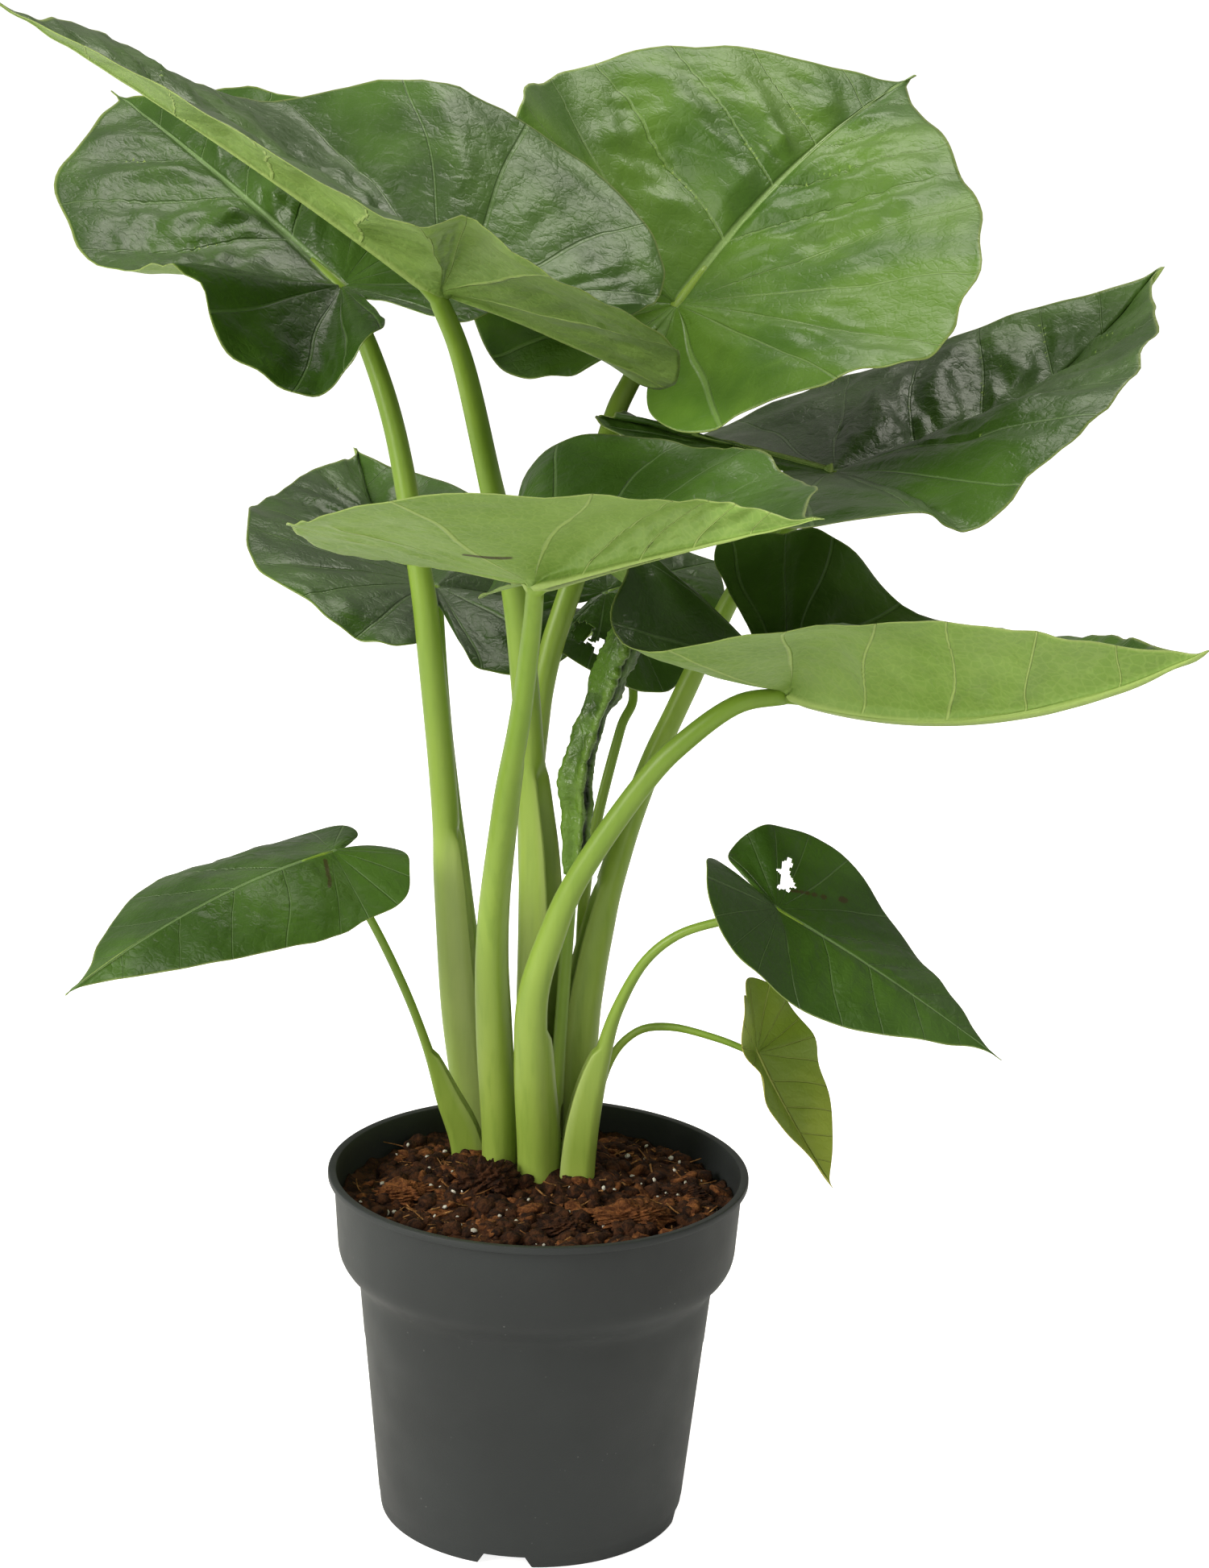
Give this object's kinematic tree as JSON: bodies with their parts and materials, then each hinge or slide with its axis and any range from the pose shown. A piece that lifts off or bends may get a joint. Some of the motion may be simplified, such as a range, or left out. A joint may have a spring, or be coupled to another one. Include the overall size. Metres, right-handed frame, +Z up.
{
  "type": "potted large-leaved plant",
  "caption": "Potted alocasia: broad arrow-shaped leaves, some folded up along the midrib, on thick sheathed petioles rising from soil in a tapered nursery pot with a collar",
  "frame": {"origin": "centre of the pot's flat underside", "axes": "+Z up, out of the pot; +Y away from the front of the plant; +X to the right seen from the front"},
  "size_m": [0.5714, 0.5232, 0.7431],
  "materials": {
    "pot": "satin anthracite",
    "soil": "damp peat and coir",
    "leaf_dark": "waxy, glossy above, pale below",
    "leaf_bright": "waxy, fresh green",
    "leaf_yellow": "dull, yellowing",
    "petiole": "smooth, satin green"
  },
  "bodies": {
    "root": {"pot": "pot", "soil": "soil", "blade_top_left_front": "leaf_dark", "petiole_top_left_front": "petiole", "blade_top_left_back": "leaf_dark", "petiole_top_left_back": "petiole", "blade_top_right": "leaf_bright", "petiole_top_right": "petiole", "blade_right_back": "leaf_dark", "petiole_right_back": "petiole", "blade_middle_front": "leaf_dark", "petiole_middle_front": "petiole", "blade_right_front": "leaf_dark", "petiole_right_front": "petiole", "blade_left_back": "leaf_dark", "petiole_left_back": "petiole", "blade_middle_back": "leaf_dark", "petiole_middle_back": "petiole", "blade_low_left": "leaf_dark", "petiole_low_left": "petiole", "blade_low_right": "leaf_dark", "petiole_low_right": "petiole", "blade_lowest_right": "leaf_yellow", "petiole_lowest_right": "petiole", "rolled_leaf": "leaf_bright", "petiole_rolled_leaf": "petiole"}
  },
  "joints": []
}
